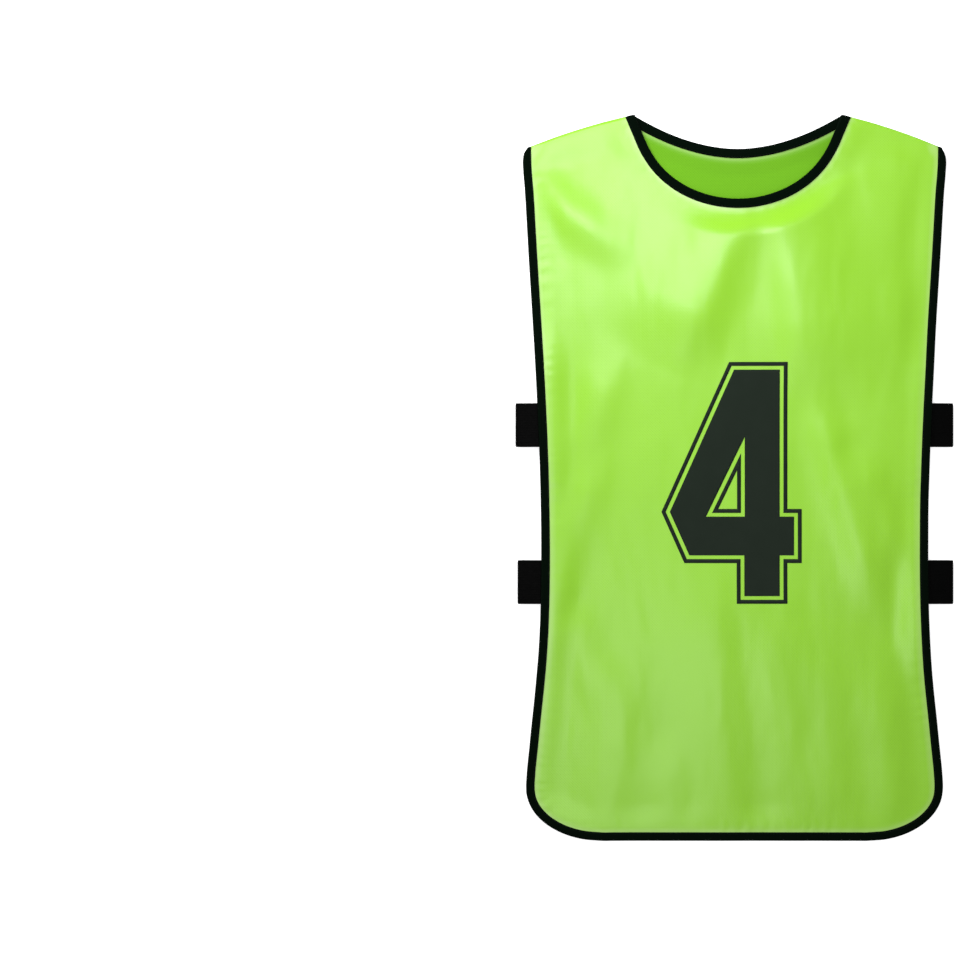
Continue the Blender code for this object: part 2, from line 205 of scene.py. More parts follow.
def startMaterial(name):
    # a new material, with its shader and the piece's own coordinates
    material = bpy.data.materials.new(name)
    material.use_nodes = True
    shader = material.node_tree.nodes["Principled BSDF"]
    coords = addNode(material, "ShaderNodeTexCoord").outputs["Object"]
    return material, shader, coords


def finishMaterial(material, shader, finish, colour, bump=None):
    links = material.node_tree.links
    links.new(colour.outputs[2], shader.inputs["Base Color"])
    if bump:
        links.new(bump.outputs["Normal"], shader.inputs["Normal"])
    shader.inputs["Roughness"].default_value = finish["rough"]
    shader.inputs["Specular IOR Level"].default_value = finish["gloss"]
    return material


def bandScale(period):
    # a wave texture of this scale repeats once in a period
    return math.pi / (10 * period)


knit = {
    "pitch": 0.0018,  # the real holes are about 1 mm apart, and are drawn wider so that they show at all
    "holeStarts": 0.45,
    "holeOpens": 0.9,
    "holeDepth": 0.0002,
    "holeStrength": 0.35,
    "clouding": 0.11,  # size of the patches of slightly uneven dye
    # the paler colour painted in a thin band beside the tapes
    "paleRimColour": "#C4E496",
    "sheen": 0.15,
    "sheenRough": 0.4,
    "face": {"shade": "#8ED01C", "tone": "#98DA26", "hole": "#82C418", "rough": 0.34, "gloss": 0.8},
    # the reverse's colours are darker than the face's: painted shade, for the back cloth inside the neck
    "reverse": {"shade": "#68AC10", "tone": "#72B618", "hole": "#5C9E0C", "rough": 0.7, "gloss": 0.3},
}


def makeLimeMesh(name, side):
    # Dyed polyester tricot mesh, warp knitted from smooth filament: a silky sheen and tiny staggered
    # holes. Its reverse is duller, and its darker colours are painted shade.
    finish = knit[side]
    material, shader, coords = startMaterial(name)
    turned = addNode(material, "ShaderNodeMapping", inputs={
        "Vector": coords, "Rotation": (0, 0, math.radians(45))})  # staggers the holes
    rows = [
        addNode(material, "ShaderNodeTexWave", {"bands_direction": way}, {
            "Vector": turned.outputs["Vector"], "Scale": bandScale(knit["pitch"]), "Distortion": 0.0})
        for way in ("X", "Y")
    ]
    crossed = addNode(material, "ShaderNodeMath", {"operation": "MULTIPLY"}, {
        0: rows[0].outputs["Fac"], 1: rows[1].outputs["Fac"]})
    holes = addNode(material, "ShaderNodeMapRange", inputs={
        "Value": crossed.outputs["Value"], "From Min": knit["holeStarts"], "From Max": knit["holeOpens"]})
    tint = addNode(material, "ShaderNodeTexNoise", inputs={
        "Vector": coords, "Scale": 1 / knit["clouding"], "Detail": 3.0})
    body = addNode(material, "ShaderNodeMix", {"data_type": "RGBA"}, {
        0: tint.outputs["Fac"], 6: toLinear(finish["shade"]), 7: toLinear(finish["tone"])})
    holed = addNode(material, "ShaderNodeMix", {"data_type": "RGBA"}, {
        0: holes.outputs["Result"], 6: body.outputs[2], 7: toLinear(finish["hole"])})
    # the cloth is painted paler in a thin band right beside the tapes
    paleRim = addNode(material, "ShaderNodeAttribute", {"attribute_name": "paleRim"})
    colour = addNode(material, "ShaderNodeMix", {"data_type": "RGBA"}, {
        0: paleRim.outputs["Fac"], 6: holed.outputs[2], 7: toLinear(knit["paleRimColour"])})
    bump = addNode(material, "ShaderNodeBump", {"invert": True}, {
        "Height": holes.outputs["Result"], "Strength": knit["holeStrength"], "Distance": knit["holeDepth"]})
    shader.inputs["Sheen Weight"].default_value = knit["sheen"]
    shader.inputs["Sheen Roughness"].default_value = knit["sheenRough"]
    return finishMaterial(material, shader, finish, colour, bump)


blacks = {
    # the last value of each is the size of its pattern
    "tape": {"low": "#020904", "high": "#040E06", "rough": 0.8, "gloss": 0.03, "grain": 0.0007},
    "thread": {"low": "#050707", "high": "#101414", "rough": 0.5, "gloss": 0.25, "twist": 0.0004},
    "elastic": {"low": "#020202", "high": "#050505", "rough": 0.4, "gloss": 0.03, "pick": 0.0008},
    "ink": {"low": "#1C251D", "high": "#202921", "rough": 0.7, "gloss": 0.1, "clouding": 0.017},
    "grainDepth": 0.0001,  # on the tape and the elastic
    "grainStrength": 0.4,
}


def makeBlackTape():
    # Black polyester binding tape, plain woven and pressed: matt, with a fine grain.
    finish = blacks["tape"]
    material, shader, coords = startMaterial("blackBindingTape")
    grain = addNode(material, "ShaderNodeTexNoise", inputs={
        "Vector": coords, "Scale": 1 / finish["grain"], "Detail": 2.0})
    colour = addNode(material, "ShaderNodeMix", {"data_type": "RGBA"}, {
        0: grain.outputs["Fac"], 6: toLinear(finish["low"]), 7: toLinear(finish["high"])})
    bump = addNode(material, "ShaderNodeBump", inputs={
        "Height": grain.outputs["Fac"],
        "Strength": blacks["grainStrength"], "Distance": blacks["grainDepth"]})
    return finishMaterial(material, shader, finish, colour, bump)


def makeBlackThread():
    # Black spun polyester sewing thread, two plies twisted: a little smoother than the tape it lies on.
    finish = blacks["thread"]
    material, shader, coords = startMaterial("blackSpunThread")
    plies = addNode(material, "ShaderNodeTexWave", {"bands_direction": "DIAGONAL"}, {
        "Vector": coords, "Scale": bandScale(finish["twist"]), "Distortion": 1.0})
    colour = addNode(material, "ShaderNodeMix", {"data_type": "RGBA"}, {
        0: plies.outputs["Fac"], 6: toLinear(finish["low"]), 7: toLinear(finish["high"])})
    return finishMaterial(material, shader, finish, colour)


def makeBlackElastic():
    # Black woven elastic, polyester over rubber threads: matt, with a cross grain over its long ribs.
    finish = blacks["elastic"]
    material, shader, coords = startMaterial("blackWovenElastic")
    picks = addNode(material, "ShaderNodeTexWave", {"bands_direction": "X"}, {
        "Vector": coords, "Scale": bandScale(finish["pick"]), "Distortion": 0.6})
    colour = addNode(material, "ShaderNodeMix", {"data_type": "RGBA"}, {
        0: picks.outputs["Fac"], 6: toLinear(finish["low"]), 7: toLinear(finish["high"])})
    bump = addNode(material, "ShaderNodeBump", inputs={
        "Height": picks.outputs["Fac"],
        "Strength": blacks["grainStrength"], "Distance": blacks["grainDepth"]})
    return finishMaterial(material, shader, finish, colour, bump)


def makeInk():
    # Plastisol ink, screen printed and cured: a thin, matt, slightly rubbery film.
    finish = blacks["ink"]
    material, shader, coords = startMaterial("charcoalPlastisolInk")
    cure = addNode(material, "ShaderNodeTexNoise", inputs={
        "Vector": coords, "Scale": 1 / finish["clouding"], "Detail": 4.0})
    colour = addNode(material, "ShaderNodeMix", {"data_type": "RGBA"}, {
        0: cure.outputs["Fac"], 6: toLinear(finish["low"]), 7: toLinear(finish["high"])})
    return finishMaterial(material, shader, finish, colour)


limeMesh = makeLimeMesh("limeTricotMesh", "face")
limeReversePaintedShade = makeLimeMesh("limeTricotReversePaintedShade", "reverse")
blackTape = makeBlackTape()
blackThread = makeBlackThread()
blackElastic = makeBlackElastic()
ink = makeInk()
print("materials made")


# The two cloths

cloth = {
    "columns": (24, 76, 24),  # across: left shoulder, neck, right shoulder
    "rows": 250,
    "thickness": 0.0005,
    "wall": 0.0010,  # of the solid that the cloth stands for
    "top": 0.0023,  # of the front cloth where it lies on the back one
    "loft": 0.0012,  # air between the two away from the seams
    "wrinkle": 0.0007,
    "wrinklesAcross": 24,  # per metre; they are drawn out down the bib
    "wrinklesDown": 8,
    "wrinkleSlice": 3.0,  # the level at which the noise is cut
    "wrinkleDetail": (0.9, 2.1, 3),  # fading, narrowing and number of its finer layers
    "edgeTape": 0.0083,
    "neckTape": 0.0092,
    "rawEdge": 0.0017,  # the raw edge's distance inside the tape's fold
    "flatPastTape": 0.003,
    "frontSettle": 0.026,
    "backSettle": 0.018,
    "shoulderSettle": 0.035,
    "seamLoft": 0.0030,  # the seam allowances inside hold the front up along the shoulders
    "pucker": 0.00022,  # ripples where the tape takes the cloth up
    "puckerPitch": 0.011,
    "puckerFades": 0.009,
    "puckerDrift": (23.0, 61.0),  # slow waves that make their pitch and height uneven, radians per metre
    "puckerPitchDrift": 2.5,
    "puckerHeightDrift": 0.4,
    "paleRim": 0.40,  # how much paler the cloth is right beside a tape
    "paleRimFades": 0.0030,
}

# Folds of the front: soft ridges along lines that run down the bib. Sizes in metres; the widths are on
# the left and right of the crest, and the fades are shares of the line.
folds = [
    # x0, y0, x1, y1, left, right, widens, height, fadeIn, fadeOut
    (0.020, 0.283, -0.062, 0.100, 0.030, 0.016, 1.3, 0.0070, 0.10, 0.34),
    (0.043, 0.288, 0.087, 0.056, 0.019, 0.034, 1.35, 0.0085, 0.08, 0.42),
    (-0.207, 0.290, -0.089, 0.203, 0.014, 0.016, 1.0, 0.0044, 0.20, 0.50),
    (0.172, 0.336, 0.133, 0.172, 0.026, 0.018, 1.0, 0.0026, 0.20, 0.50),
    (0.158, 0.254, 0.151, -0.157, 0.034, 0.017, 1.0, 0.0042, 0.25, 0.45),
    (0.112, 0.037, 0.172, -0.108, 0.018, 0.012, 1.0, 0.0032, 0.30, 0.40),
    (0.075, 0.090, 0.147, -0.157, 0.013, 0.012, 1.0, 0.0044, 0.25, 0.35),
    (-0.102, 0.143, -0.159, -0.004, 0.016, 0.014, 1.0, 0.0026, 0.45, 0.30),
    (-0.128, 0.037, -0.183, -0.137, 0.015, 0.014, 1.0, 0.0036, 0.30, 0.20),
    (-0.101, -0.166, -0.128, -0.379, 0.026, 0.015, 1.0, 0.0030, 0.45, 0.10),
    (-0.168, -0.118, -0.108, -0.248, 0.016, 0.018, 1.0, 0.0022, 0.25, 0.45),
    (-0.056, -0.234, -0.064, -0.379, 0.020, 0.014, 1.0, 0.0016, 0.40, 0.10),
    (-0.021, -0.060, -0.008, -0.379, 0.024, 0.015, 1.1, 0.0032, 0.30, 0.10),
    (0.037, -0.079, 0.060, -0.379, 0.022, 0.018, 1.0, 0.0028, 0.35, 0.10),
    (0.081, -0.118, 0.108, -0.379, 0.018, 0.015, 1.0, 0.0032, 0.35, 0.10),
    (0.130, -0.137, 0.161, -0.379, 0.020, 0.020, 1.0, 0.0042, 0.40, 0.10),
]


def foldHeight(x, y):
    total = np.zeros_like(x)
    for x0, y0, x1, y1, left, right, widens, height, fadeIn, fadeOut in folds:
        alongX, alongY = x1 - x0, y1 - y0
        length = math.hypot(alongX, alongY)
        t = ((x - x0) * alongX + (y - y0) * alongY) / length ** 2
        off = ((y - y0) * alongX - (x - x0) * alongY) / length
        width = np.where(off > 0, right, left) * (1 + (widens - 1) * np.clip(t, 0, 1))
        swell = smoothStep(t / fadeIn) * smoothStep((1 - t) / fadeOut)
        total += height * swell * np.exp(-0.5 * (off / width) ** 2)
    return total


def spread(points, count):
    # count + 1 points evenly along a rail
    return [points[round(k * (len(points) - 1) / count)] for k in range(count + 1)]


def clothGrid(rail):
    # a grid of places between the four sides of the cut, from the hem's corners to the shoulder tips
    left, middle, right = cloth["columns"]
    across = left + middle + right
    edge = rail["edge"]
    boxCorner = Vector((edge[len(edge) // 4].x, min(p.y for p in edge)))
    hemCorner = min(range(len(edge) // 2), key=lambda k: (edge[k].to_2d() - boxCorner).length)
    leftSide = spread(edge[:hemCorner + 1][::-1], cloth["rows"])
    bottom = spread(edge[hemCorner:len(edge) - hemCorner], across)
    rightSide = spread(edge[len(edge) - hemCorner - 1:], cloth["rows"])
    top = (spread(rail["leftShoulder"][::-1], left)[:-1] + spread(rail["neck"][::-1], middle)[:-1]
           + spread(rail["rightShoulder"][::-1], right))
    sides = [np.array([p.to_2d() for p in side]) for side in (leftSide, bottom, rightSide, top)]
    leftSide, bottom, rightSide, top = sides
    u = np.linspace(0, 1, across + 1)[None, :, None]
    v = np.linspace(0, 1, cloth["rows"] + 1)[:, None, None]
    between = bottom[None] * (1 - v) + top[None] * v + leftSide[:, None] * (1 - u) + rightSide[:, None] * u
    corners = (bottom[0] * (1 - u) + bottom[-1] * u) * (1 - v) + (top[0] * (1 - u) + top[-1] * u) * v
    return between - corners


def nearestOn(points, grid):
    # distance to the nearest rail point, that point's height, and its place along the rail
    tree = KDTree(len(points))
    for k, p in enumerate(points):
        tree.insert((p.x, p.y, 0), k)
    tree.balance()
    found = [tree.find((x, y, 0)) for x, y in grid.reshape(-1, 2)]
    shape = grid.shape[:2]
    distance = np.array([f[2] for f in found]).reshape(shape)
    height = np.array([points[f[1]].z for f in found]).reshape(shape)
    along = np.array([f[1] * rails["step"] for f in found]).reshape(shape)
    return distance, height, along


def smallWrinkles(grid):
    # fine unevenness of limp cloth
    places = [
        Vector((x * cloth["wrinklesAcross"], y * cloth["wrinklesDown"], cloth["wrinkleSlice"]))
        for x, y in grid.reshape(-1, 2)
    ]
    values = [noise.fractal(place, *cloth["wrinkleDetail"]) for place in places]
    return np.array(values).reshape(grid.shape[:2])


def puckers(past, along):
    # ripples across the seam, uneven in pitch and height, that die away from the tape
    slow, quick = cloth["puckerDrift"]
    drift = np.sin(along * slow) + np.sin(along * quick + 1.0)
    ripple = np.sin(2 * math.pi * along / cloth["puckerPitch"] + cloth["puckerPitchDrift"] * drift)
    height = cloth["pucker"] * (1 + cloth["puckerHeightDrift"] * drift)
    return height * ripple * np.exp(-past.clip(0) / cloth["puckerFades"])


def clothHeights(rail, grid, front):
    # heights, and how much paler the cloth is painted beside the tapes
    edgeGap, edgeTop, edgeAlong = nearestOn(rail["edge"], grid)
    neckGap, neckTop, neckAlong = nearestOn(rail["neck"], grid)
    shoulderGap, _, _ = nearestOn(rail["leftShoulder"] + rail["rightShoulder"], grid)
    pastEdge = edgeGap - (cloth["edgeTape"] - cloth["rawEdge"])
    pastNeck = neckGap - (cloth["neckTape"] - cloth["rawEdge"])
    past = np.minimum(pastEdge, pastNeck)
    nearTop = np.where(pastEdge < pastNeck, edgeTop, neckTop)
    along = np.where(pastEdge < pastNeck, edgeAlong, neckAlong)
    lift = smoothStep(shoulderGap / cloth["shoulderSettle"])
    middle = nearTop - (cloth["wall"] - cloth["thickness"]) / 2
    if front:
        inside = smoothStep((past - cloth["flatPastTape"]) / cloth["frontSettle"])
        wrinkled = cloth["wrinkle"] * smallWrinkles(grid)
        folded = cloth["loft"] + foldHeight(grid[..., 0], grid[..., 1]) + wrinkled
        rest = cloth["top"] + folded * lift + cloth["seamLoft"] * (1 - lift)
        middle = middle + puckers(past, along) * smoothStep(past / cloth["flatPastTape"])
    else:
        inside = smoothStep(past / cloth["backSettle"])
        rest = np.full_like(past, cloth["thickness"])
    paleRim = cloth["paleRim"] * np.exp(-(past.clip(0) / cloth["paleRimFades"]) ** 2)
    return middle * (1 - inside) + rest * inside, paleRim


def makeCloth(layer):
    front = layer == "front"
    rail = panelRails[layer]
    grid = clothGrid(rail)
    heights, paleRim = clothHeights(rail, grid, front)
    rows, columns = heights.shape
    bm = bendGrid(columns - 1, rows - 1, lambda i, j: (grid[j, i, 0], grid[j, i, 1], heights[j, i]))
    area = sum(f.calc_area() for f in bm.faces)
    bm.verts.index_update()
    paleRimLayer = bm.verts.layers.float.new("paleRim")
    for v in bm.verts:
        v[paleRimLayer] = paleRim[v.index // columns, v.index % columns]
    # the back cloth's top shows inside the neck, in the reverse's painted shade
    upper, lower = (limeMesh, limeReversePaintedShade) if front else (limeReversePaintedShade, limeMesh)
    piece = addPiece(layer + "_cloth", bm, upper, layer + "_panel")
    piece.data.materials.append(lower)
    wall = piece.modifiers.new("Thickness", "SOLIDIFY")
    wall.thickness = cloth["thickness"]
    wall.offset = -1
    wall.material_offset = 1
    print(piece.name, "made, area", round(area, 4))
    return piece, area


backCloth, backArea = makeCloth("back")
frontCloth, frontArea = makeCloth("front")


# Binding tapes

tape = {
    "under": 0.0023,  # the tape's underside below the cloth's top
    "thickness": 0.0033,
    "foldRound": 0.0015,
    "foldSteps": 6,
    "crown": 0.0001,  # the tape is this much fuller over the raw edge
    "innerThickness": 0.0026,
    "innerRound": (0.0003, 0.0004),  # inward, up
    "endRun": 6,  # steps of the rail over which the inner edge runs straight to the shoulder
    "pastTip": 0.01,  # the shoulder lines that cut its ends are drawn on this far
}


def shoulderLine(points):
    # a shoulder drawn on a little past both its ends
    before = (points[0] - points[1]).normalized() * tape["pastTip"]
    after = (points[-1] - points[-2]).normalized() * tape["pastTip"]
    return [points[0] + before, *points, points[-1] + after]


def crossing(start, along, line):
    # where a straight run from a point meets a shoulder
    across = Vector((-along.y, along.x))
    sides = [(p - start).to_2d().dot(across) for p in line]
    k = next(k for k in range(len(line) - 1) if sides[k] * sides[k + 1] <= 0)
    met = line[k].lerp(line[k + 1], sides[k] / (sides[k] - sides[k + 1]))
    return Vector((met.x, met.y, start.z))


def offsetRail(points, distance, shoulders, run):
    # the rail moved in, or out where the distance is negative, with its ends cut along the shoulders
    last = len(points) - 1
    moved = []
    for k, p in enumerate(points):
        along = points[min(k + 1, last)] - points[max(k - 1, 0)]
        moved.append(p + Vector((-along.y, along.x, 0)).normalized() * distance)
    for first, step, shoulder in ((0, 1, shoulders[0]), (last, -1, shoulders[1])):
        anchor = moved[first + step * run].copy()
        end = crossing(anchor, anchor - moved[first + step * (run + 2)], shoulder)
        for k in range(run):
            moved[first + step * k] = end.lerp(anchor, k / run)
    return moved


def tapeProfile(width):
    # section of the folded tape as (inward, up), round at its fold and thinner at its inner edge
    r, high = tape["foldRound"], tape["thickness"]
    low = (high - tape["innerThickness"]) / 2
    roundIn, roundUp = tape["innerRound"]
    points = []
    for k in range(tape["foldSteps"] + 1):
        angle = math.pi * (1.5 - k / tape["foldSteps"])
        points.append((r + r * math.cos(angle), high / 2 + high / 2 * math.sin(angle)))
    points += [(width * 0.45, high + tape["crown"]), (width * 0.8, high - low * 0.6)]
    points += [(width - roundIn, high - low), (width, high - low - roundUp)]
    points += [(width, low + roundUp), (width - roundIn, low * 0.4), (width * 0.5, 0.0)]
    return points


def makeTape(layer, stretch):
    # the folded tape, with the lines of its fold and of its inner edge
    rail, width = panelRails[layer], cloth[stretch + "Tape"]
    points = rail[stretch]
    shoulders = [shoulderLine(rail[side]) for side in ("leftShoulder", "rightShoulder")]
    if stretch == "neck":
        shoulders.reverse()
    fold = offsetRail(points, -cloth["rawEdge"], shoulders, 1)
    inner = offsetRail(points, width - cloth["rawEdge"], shoulders, tape["endRun"])
    profile = tapeProfile(width)

    def place(i, j):
        inward, up = profile[j % len(profile)]
        return fold[i].lerp(inner[i], inward / width) + Vector((0, 0, up - tape["under"]))

    name = f"{layer}_{stretch}"
    bm = closedLoft(len(points) - 1, len(profile), place)
    piece = addPiece(name + "_tape", bm, blackTape, name + "_binding")
    return {"piece": piece, "fold": fold, "inner": inner, "width": width}


tapes = {
    (layer, stretch): makeTape(layer, stretch) for layer in ("back", "front") for stretch in ("edge", "neck")
}
print("tapes made:", len(tapes))


# Shoulder seams: front and back are joined with the cloth and the tapes turned in

turn = {
    "clothBulge": 0.0009,
    "tapeBulge": 0.0011,
    "tapeSteps": 12,
    "pressed": 0.0001,  # a turned tape starts this far within the tape's own surfaces
    "rounding": 0.4,  # share of a tape's width over which its turn rounds off, on each side
    "squareLeast": 0.04,  # keeps a little of the bulge at the very sides
    "arcSteps": 8,
    "tuck": 0.0010,  # the turn reaches this far back in between the cloths
    "tuckHalf": 0.8,  # and is this share of its height there
}


def makeTurn(name, upper, lower, bulge, material):
    # half an ellipse from the upper points round to the lower ones, on the shoulder side
    last = len(upper) - 1
    arc = turn["arcSteps"]

    def place(i, j):
        along = upper[min(i + 1, last)] - upper[max(i - 1, 0)]
        outward = Vector((-along.y, along.x, 0)).normalized()
        if outward.y < 0:
            outward.negate()
        middle, half = (upper[i] + lower[i]) / 2, (upper[i].z - lower[i].z) / 2
        k = j % (arc + 3)
        if k > arc:
            level = turn["tuckHalf"] * (-1 if k == arc + 1 else 1)
            return middle - outward * turn["tuck"] + Vector((0, 0, half * level))
        angle = math.pi * (0.5 - k / arc)
        return middle + outward * bulge(i / last) * math.cos(angle) + Vector((0, 0, half * math.sin(angle)))

    return addPiece(name, closedLoft(last, arc + 3, place), material)


def roundedBulge(t):
    past = max(0.0, abs(2 * t - 1) - 1 + 2 * turn["rounding"]) / (2 * turn["rounding"])
    return turn["tapeBulge"] * math.sqrt(max(turn["squareLeast"], 1 - past ** 2))


def turnTape(name, stretch, end):
    # the front tape's end goes over the seam and down to the back tape's underside
    front, back = tapes["front", stretch], tapes["back", stretch]
    steps = turn["tapeSteps"]
    top = Vector((0, 0, tape["thickness"] - tape["under"] - turn["pressed"]))
    upper = [front["fold"][end].lerp(front["inner"][end], k / steps) + top for k in range(steps + 1)]
    bottom = back["fold"][end].z - tape["under"] + turn["pressed"]
    lower = [Vector((p.x, p.y, bottom)) for p in upper]
    return makeTurn(name, upper, lower, roundedBulge, blackTape)


def topRow(piece, side):
    # the cloth's points along one shoulder
    left, middle, right = cloth["columns"]
    row = [v.co.copy() for v in piece.data.vertices[-(left + middle + right + 1):]]
    return row[:left + 1] if side == "left" else row[-(right + 1):]


def turnCloth(side):
    underside = Vector((0, 0, -cloth["thickness"]))
    lower = [p + underside for p in topRow(backCloth, side)]
    return makeTurn(side + "_shoulder_seam", topRow(frontCloth, side), lower, lambda t: turn["clothBulge"],
                    limeReversePaintedShade)


for side in ("left", "right"):
    turnCloth(side)
for side, edgeEnd, neckEnd in (("left", 0, -1), ("right", -1, 0)):
    turnTape(side + "_tip_turn", "edge", edgeEnd)
    turnTape(side + "_neck_turn", "neck", neckEnd)
print("shoulder seams turned")


# Stitching along the tapes

stitch = {
    "length": 0.0022,
    "gap": 0.0006,
    "thread": 0.00035,
    "inFromEdge": 0.0013,
    "proud": 0.00005,
    "topSink": 0.7,  # the tape's surface there, in shares of its thinning
    "undersideRise": 0.3,
}


def makeStitches(layer, stretch, onTop):
    # a lockstitch row near the tape's inner edge, on its upper side or its underside
    made = tapes[layer, stretch]
    share = 1 - stitch["inFromEdge"] / made["width"]
    row = [a.lerp(b, share) for a, b in zip(made["fold"], made["inner"])]
    length = sum((b - a).length for a, b in zip(row, row[1:]))
    count = round(length / (stitch["length"] + stitch["gap"]))
    path = smoothPath(row, 2 * count)
    low = (tape["thickness"] - tape["innerThickness"]) / 2
    if onTop:
        up = tape["thickness"] - low * stitch["topSink"] + stitch["proud"]
    else:
        up = low * stitch["undersideRise"]
    level = Vector((0, 0, up - tape["under"]))
    size = Matrix.Diagonal((stitch["length"], stitch["thread"], stitch["thread"], 1))
    bm = bmesh.new()
    for k in range(1, 2 * count, 2):
        way = (path[k + 1] - path[k - 1]).to_track_quat("X", "Z").to_matrix().to_4x4()
        bmesh.ops.create_icosphere(
            bm, subdivisions=1, radius=0.5, matrix=Matrix.Translation(path[k] + level) @ way @ size)
    name = f"{layer}_{stretch}_" + ("stitches" if onTop else "understitches")
    return addPiece(name, bm, blackThread)


for layer, stretch, onTop in (
        ("front", "edge", True), ("front", "neck", True), ("back", "neck", True),
        ("back", "edge", False), ("back", "neck", False)):
    makeStitches(layer, stretch, onTop)
print("tapes stitched")


# Side elastics

elastic = {
    "thickness": 0.0012,
    "legGap": 0.0003,
    "foldRadius": 0.0017,
    "legSteps": 8,
    "foldSteps": 12,
    "ribs": 26,
    "ribSteps": 4,
    "ribHeight": 0.00012,
    "tucked": 0.010,  # under the tapes
    "cornerSoft": 0.0018,  # how far in from its sides the fold rounds off
    "cornerPull": 0.0008,
    "shorter": {"lower_left_elastic": 0.0020},  # sewn in a little deeper than the others
}


def elasticLine(innerX, edgeX, foldX, levels):
    # the strip's middle line, out along the upper leg, round the fold and back along the lower one
    upper, middle, lower = levels
    radius = elastic["foldRadius"]
    legs = [k / elastic["legSteps"] for k in range(elastic["legSteps"] + 1)]
    turns = [math.pi * (0.5 - k / elastic["foldSteps"]) for k in range(1, elastic["foldSteps"])]

    def onLeg(t, level, foldLevel):
        return (edgeX + (foldX - edgeX) * t, level + (foldLevel - level) * float(smoothStep(t)))

    line = [(innerX, upper)]
    line += [onLeg(t, upper, middle + radius) for t in legs]
    line += [(foldX + radius * math.cos(angle), middle + radius * math.sin(angle)) for angle in turns]
    line += [onLeg(t, lower, middle - radius) for t in reversed(legs)]
    line += [(innerX, lower)]
    return [Vector((x, 0, z)) for x, z in line]


def makeElastic(node):
    low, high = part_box(node)
    side = 1 if high.x > 0 else -1
    innerX = min(abs(low.x), abs(high.x))
    edgeX = innerX + elastic["tucked"]
    reach = max(abs(low.x), abs(high.x)) - elastic["shorter"].get(node, 0.0)
    foldX = reach - elastic["foldRadius"] - elastic["thickness"] / 2
    upper = high.z - elastic["thickness"] / 2
    lower = upper - elastic["thickness"] - elastic["legGap"]
    middle = low.z + elastic["thickness"] / 2 + elastic["foldRadius"]
    line = elasticLine(innerX, edgeX, foldX, (upper, middle, lower))
    last = len(line) - 1
    rows = elastic["ribs"] * elastic["ribSteps"]
    middleY = (low.y + high.y) / 2
    half = (high.y - low.y) / 2

    def place(i, j):
        p = line[i]
        along = (line[min(i + 1, last)] - line[max(i - 1, 0)]).normalized()
        off = Vector((-along.z, 0, along.x))
        across = 2 * j / rows - 1
        out = float(smoothStep((p.x - edgeX) / (reach - edgeX)))
        fromSide = half * (1 - abs(across))
        pull = elastic["cornerPull"] * out * max(0.0, 1 - fromSide / elastic["cornerSoft"]) ** 2
        rib = elastic["ribHeight"] * math.cos(2 * math.pi * elastic["ribs"] * j / rows)
        q = p + off * rib
        return Vector((side * (q.x - pull), middleY + across * half, q.z))

    bm = bendGrid(last, rows, place)
    piece = addPiece(node.replace("elastic", "strap"), bm, blackElastic, node)
    wall = piece.modifiers.new("Thickness", "SOLIDIFY")
    wall.thickness = elastic["thickness"] - 2 * elastic["ribHeight"]
    wall.offset = 0
    return piece


straps = [makeElastic(f"{row}_{side}_elastic") for row in ("upper", "lower") for side in ("left", "right")]
print("straps made:", len(straps))


# Printed number

number = {
    # a block figure; every size here is in millimetres, and a place is from the bib's middle
    "outline": [(-5.1, 112.0), (51.2, 112.0), (51.2, -29.9), (65.1, -29.9), (65.1, -82.1), (51.2, -82.1),
                (51.2, -121.4), (2.2, -121.4), (2.2, -82.1), (-48.3, -82.1), (-70.4, -32.7)],
    "counter": [(10.0, 39.5), (10.0, -37.3), (-27.3, -37.3)],
    "line": 3.8,
    "gap": 3.6,
    "cut": 3.0,  # the print is cut this fine, so that it follows the cloth
    "cutShift": 0.4,
    "above": 0.12,
    "film": 0.1,
}
surface = BVHTree.FromPolygons(
    [v.co for v in frontCloth.data.vertices], [p.vertices for p in frontCloth.data.polygons])


def flatFace(points):
    bm = bmesh.new()
    bm.faces.new([bm.verts.new((x / 1000, y / 1000, 0)) for x, y in points])
    bm.normal_update()
    if bm.faces[:][0].normal.z < 0:
        bmesh.ops.reverse_faces(bm, faces=bm.faces)
    return bm


def insetFace(bm, millimetres):
    # the face drawn in by a distance: gives the rim and what is left of the face
    middle = bm.faces[:]
    rim = bmesh.ops.inset_region(
        bm, faces=middle, thickness=millimetres / 1000, use_boundary=True, use_even_offset=True)["faces"]
    return rim, middle


def band(points, outer, inner):
    # the band between two insets of an outline
    bm = flatFace(points)
    if outer:
        rim, _ = insetFace(bm, outer)
        bmesh.ops.delete(bm, geom=rim, context="FACES")
    _, middle = insetFace(bm, inner - outer)
    bmesh.ops.delete(bm, geom=middle, context="FACES")
    return bm


def filledFigure():
    bm = flatFace(number["outline"])
    rim, middle = insetFace(bm, number["line"] + number["gap"])
    bmesh.ops.delete(bm, geom=rim, context="FACES")
    bmesh.ops.delete(bm, geom=middle, context="FACES_ONLY")
    counter = [bm.verts.new((x / 1000, y / 1000, 0)) for x, y in number["counter"]]
    for k in range(3):
        bm.edges.new((counter[k], counter[(k + 1) % 3]))
    bmesh.ops.triangle_fill(bm, use_beauty=True, edges=bm.edges[:], normal=(0, 0, 1))
    return bm


def cutFine(bm):
    furthest = max(abs(value) for point in number["outline"] for value in point)
    cuts = math.ceil(furthest / number["cut"])
    for axis in (Vector((1, 0, 0)), Vector((0, 1, 0))):
        for k in range(-cuts, cuts + 1):
            place = axis * (k * number["cut"] + number["cutShift"]) / 1000
            bmesh.ops.bisect_plane(
                bm, geom=bm.verts[:] + bm.edges[:] + bm.faces[:], plane_co=place, plane_no=axis, dist=1e-7)


